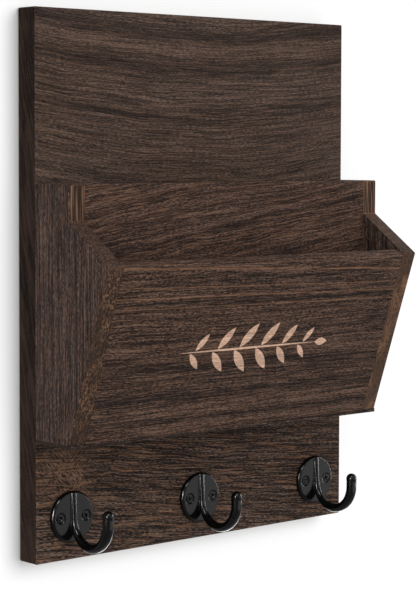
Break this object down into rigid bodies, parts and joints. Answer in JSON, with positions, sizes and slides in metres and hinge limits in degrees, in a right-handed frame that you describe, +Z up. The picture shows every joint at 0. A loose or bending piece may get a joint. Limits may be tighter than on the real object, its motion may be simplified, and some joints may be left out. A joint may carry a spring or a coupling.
{
  "type": "wall mail organizer",
  "caption": "Dark stained wooden wall organizer with a slanted letter pocket, a divider behind it and a row of black cast hooks for keys.",
  "frame": {"origin": "centre of the backboard's back face, on the wall", "axes": "+Z up the wall, +Y into the wall, +X to the right as seen from the room"},
  "size_m": [0.26, 0.0858, 0.335],
  "materials": {
    "stained_wood": "dark walnut-brown stain on a soft light wood, open grain, satin",
    "stained_ply": "thin board, dark brown stain, matt",
    "dowel_wood": "bare beech, matt",
    "zinc_steel": "zinc plated steel, dull bright",
    "black_metal": "black coating on cast metal, satin gloss"
  },
  "bodies": {
    "root": {"backboard": "stained_wood", "side_panel_left": "stained_wood", "side_panel_right": "stained_wood", "divider": "stained_wood", "front_panel": "stained_wood", "bottom_panel": "stained_ply", "dowels": "dowel_wood", "bottom_brads": "zinc_steel", "carcass_screws": "zinc_steel", "hanger_plate_left": "zinc_steel", "hanger_plate_right": "zinc_steel", "hanger_screws": "zinc_steel", "hook_left": "black_metal", "hook_middle": "black_metal", "hook_right": "black_metal", "hook_screws": "black_metal"}
  },
  "joints": []
}
